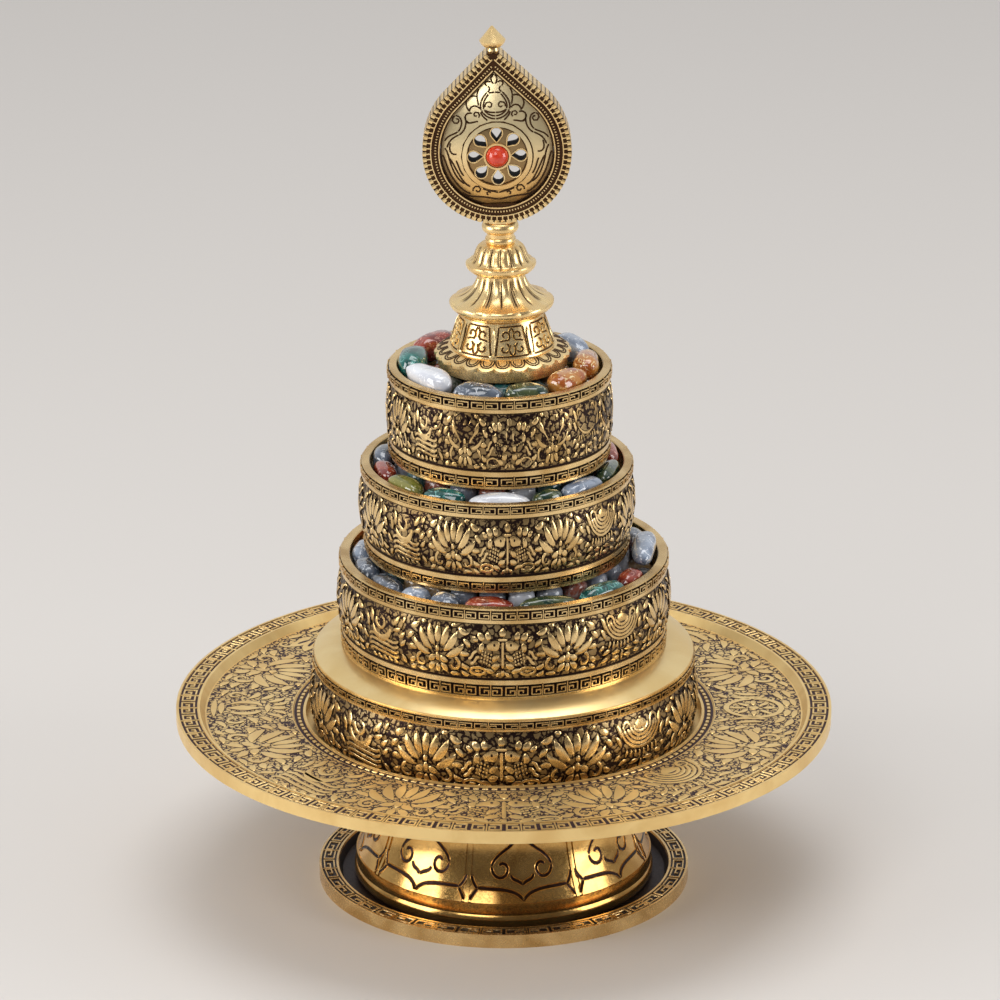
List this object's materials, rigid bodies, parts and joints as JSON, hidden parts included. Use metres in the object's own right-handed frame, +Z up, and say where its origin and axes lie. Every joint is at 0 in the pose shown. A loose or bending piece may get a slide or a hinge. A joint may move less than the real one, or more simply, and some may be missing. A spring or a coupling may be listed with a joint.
{
  "type": "mandala offering plate",
  "caption": "Footed round plate carrying a drum, stacked embossed rings heaped with tumbled stones, and a pierced leaf-shaped jewel ornament on top.",
  "frame": {"origin": "centre of the foot ring's underside, where the plate stands", "axes": "+Z up along the foot and plate's axis; the leaf's front face looks towards -Y, +X is the viewer's right"},
  "size_m": [0.2182, 0.2182, 0.2957],
  "materials": {
    "chased_brass": "satin",
    "satin_brass": "satin",
    "dark_brass": "polished",
    "gilt_brass": "polished",
    "steel": "satin",
    "packed_stones": "satin",
    "coral": "gloss",
    "red_stone": "gloss",
    "green_stone": "gloss",
    "teal_stone": "gloss",
    "amber_stone": "gloss",
    "white_stone": "gloss",
    "grey_stone": "gloss",
    "clear_stone": "gloss"
  },
  "bodies": {
    "stand": {"foot_ring": "chased_brass", "foot_pins": "steel", "pedestal_waist": "dark_brass", "plate": "chased_brass", "plate_screw": "steel", "plate_washer": "steel", "plate_nut": "steel"},
    "base": {"drum_side": "chased_brass", "drum_lid": "satin_brass", "heap_large": "packed_stones", "heap_medium": "packed_stones", "heap_small": "packed_stones", "stones_large_amber": "amber_stone", "stones_large_clear": "clear_stone", "stones_large_green": "green_stone", "stones_large_grey": "grey_stone", "stones_large_red": "red_stone", "stones_large_teal": "teal_stone", "stones_large_white": "white_stone", "stones_medium_amber": "amber_stone", "stones_medium_clear": "clear_stone", "stones_medium_green": "green_stone", "stones_medium_grey": "grey_stone", "stones_medium_red": "red_stone", "stones_medium_teal": "teal_stone", "stones_medium_white": "white_stone", "stones_small_amber": "amber_stone", "stones_small_clear": "clear_stone", "stones_small_green": "green_stone", "stones_small_grey": "grey_stone", "stones_small_red": "red_stone", "stones_small_teal": "teal_stone", "stones_small_white": "white_stone"},
    "ring_large": {"ring_large": "chased_brass"},
    "ring_medium": {"ring_medium": "chased_brass"},
    "ring_small": {"ring_small": "chased_brass"},
    "ornament": {"ornament_base": "gilt_brass", "lotus_tier": "gilt_brass", "lotus_bell": "gilt_brass", "turned_neck": "gilt_brass", "ornament_rod": "steel", "rod_washer": "steel", "rod_nut": "steel", "leaf_frame": "gilt_brass", "leaf_field": "gilt_brass", "bezel_front": "gilt_brass", "bezel_back": "gilt_brass", "coral_front": "coral", "coral_back": "coral", "finial": "gilt_brass"}
  },
  "joints": [
    {"name": "base_lift", "type": "slide", "parent": "stand", "child": "base", "axis": [0, 0, 1], "range_m": [0, 0.04]},
    {"name": "ring_large_lift", "type": "slide", "parent": "base", "child": "ring_large", "axis": [0, 0, 1], "range_m": [0, 0.04]},
    {"name": "ring_medium_lift", "type": "slide", "parent": "base", "child": "ring_medium", "axis": [0, 0, 1], "range_m": [0, 0.04]},
    {"name": "ring_small_lift", "type": "slide", "parent": "base", "child": "ring_small", "axis": [0, 0, 1], "range_m": [0, 0.04]},
    {"name": "ornament_lift", "type": "slide", "parent": "base", "child": "ornament", "axis": [0, 0, 1], "range_m": [0, 0.04]}
  ]
}
